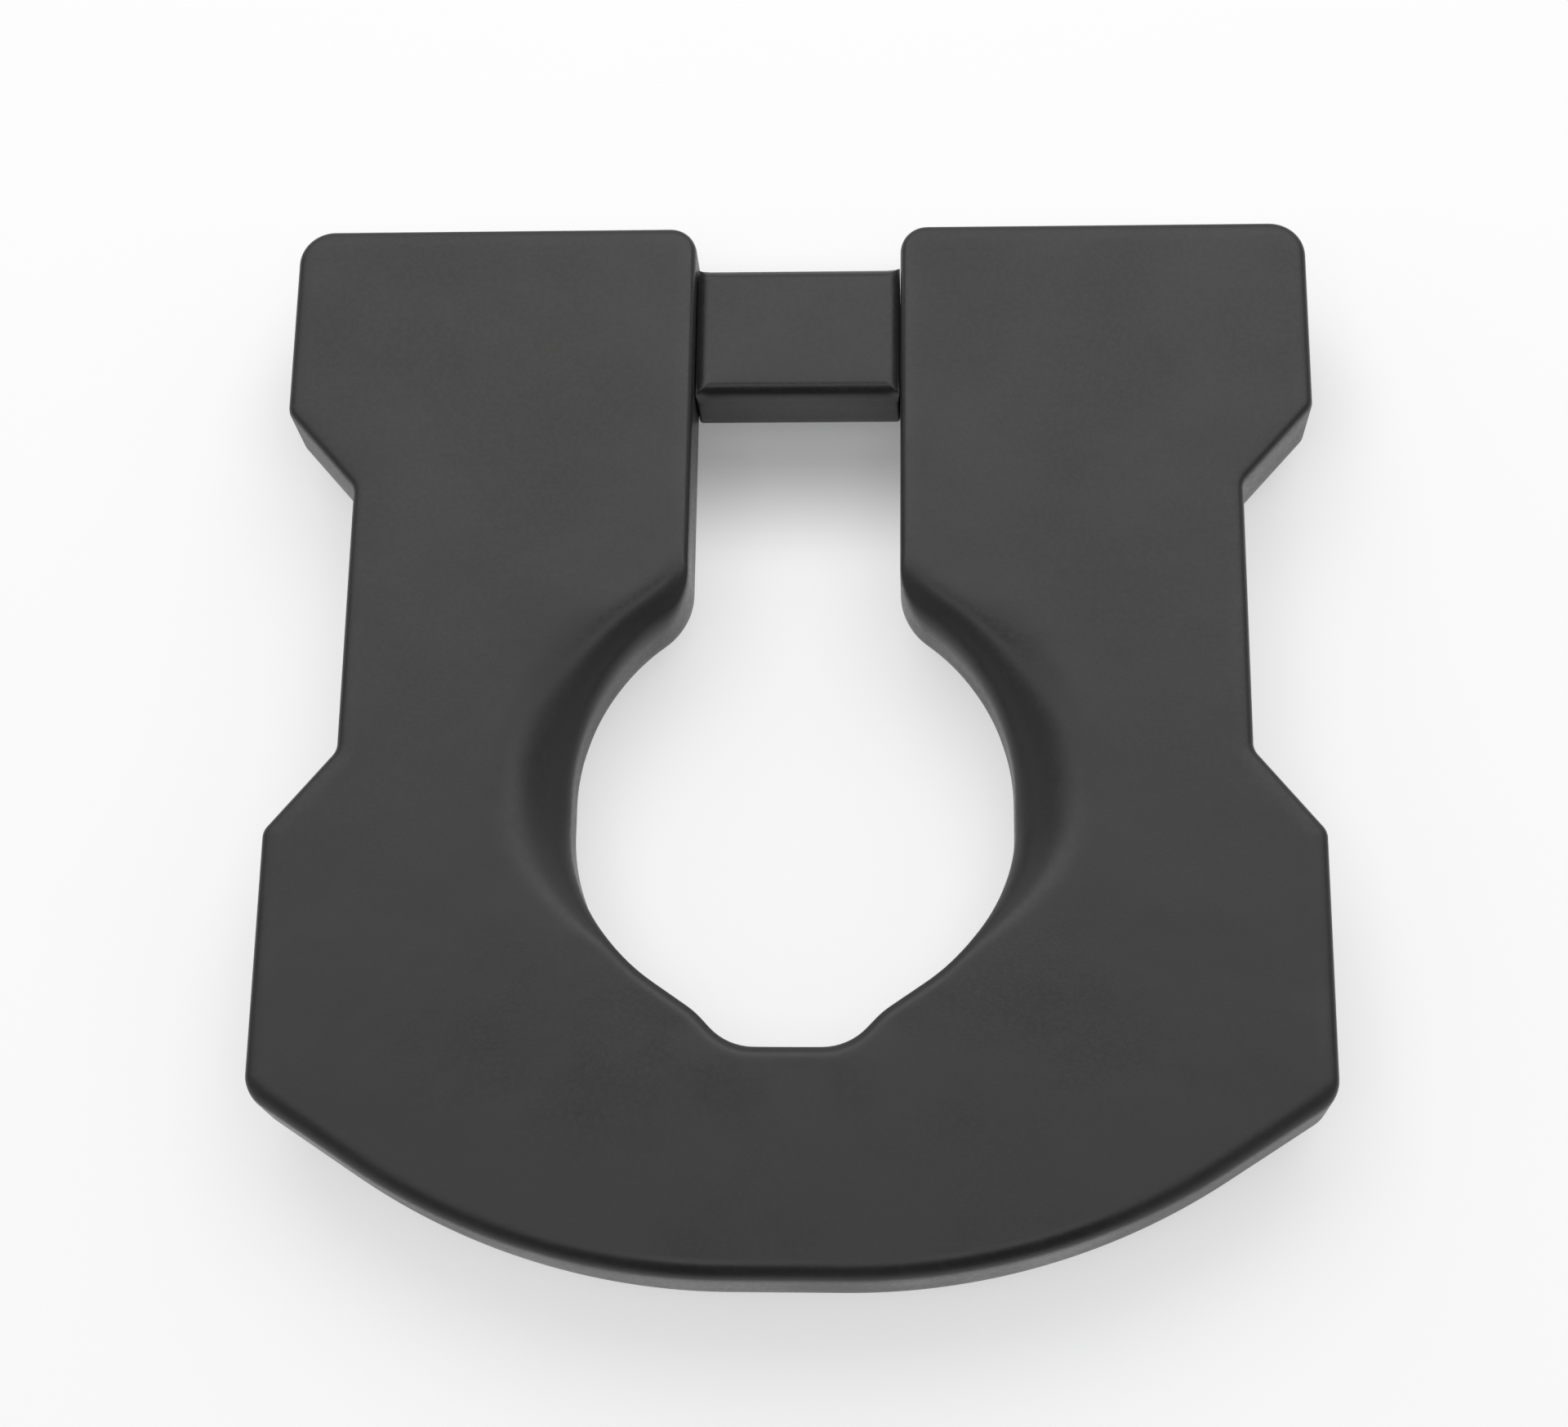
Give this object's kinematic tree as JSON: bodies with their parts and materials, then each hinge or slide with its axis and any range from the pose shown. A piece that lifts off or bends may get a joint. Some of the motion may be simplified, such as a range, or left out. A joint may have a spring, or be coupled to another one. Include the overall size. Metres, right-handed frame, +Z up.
{
  "type": "padded commode seat",
  "caption": "Padded shower and commode chair seat with notched sides, a keyhole opening and a slide-out padded bridge bar closing the rear access gap.",
  "frame": {"origin": "on the surface the seat lies on, at the centre of its outline in plan; the bottoms of the four tube clips are at zero height", "axes": "+X to the sitter's right of a seat seen from above with its curved front edge towards the viewer, +Y from the curved front edge to the open rear, +Z up through the padding"},
  "size_m": [0.454, 0.472, 0.065],
  "materials": {
    "foam_skin": "matte",
    "board": "matte",
    "insert_brass": "satin",
    "clip_nylon": "matte",
    "fastener_steel": "satin",
    "rail_plastic": "satin",
    "stop_rubber": "matte",
    "carrier_aluminium": "satin",
    "knob_plastic": "satin"
  },
  "bodies": {
    "seat": {"seat_pad": "foam_skin", "seat_board": "board", "clip_inserts": "insert_brass", "rail_inserts": "insert_brass", "clip_front_left": "clip_nylon", "clip_front_right": "clip_nylon", "clip_rear_left": "clip_nylon", "clip_rear_right": "clip_nylon", "clip_screws": "fastener_steel", "clip_washers": "fastener_steel", "rail_left": "rail_plastic", "rail_right": "rail_plastic", "rail_screws": "fastener_steel", "rail_washers": "fastener_steel", "rail_stops": "stop_rubber", "knob_bushes": "insert_brass"},
    "bridge": {"bridge_pad": "foam_skin", "bridge_board": "board", "bridge_inserts": "insert_brass", "bridge_carrier": "carrier_aluminium", "bridge_screws": "fastener_steel"},
    "clamp_left": {"knob_left": "knob_plastic", "knob_stud_left": "fastener_steel"},
    "clamp_right": {"knob_right": "knob_plastic", "knob_stud_right": "fastener_steel"}
  },
  "joints": [
    {"name": "bridge_slide", "type": "slide", "parent": "seat", "child": "bridge", "axis": [0, 1, 0], "range_m": [0, 0.09]},
    {"name": "knob_left_turn", "type": "hinge", "parent": "seat", "child": "clamp_left", "pos_m": [-0.061, 0.1875, 0.01], "axis": [0, 0, -1], "range_deg": [0, 180]},
    {"name": "knob_right_turn", "type": "hinge", "parent": "seat", "child": "clamp_right", "pos_m": [0.061, 0.1875, 0.01], "axis": [0, 0, -1], "range_deg": [0, 180]}
  ]
}
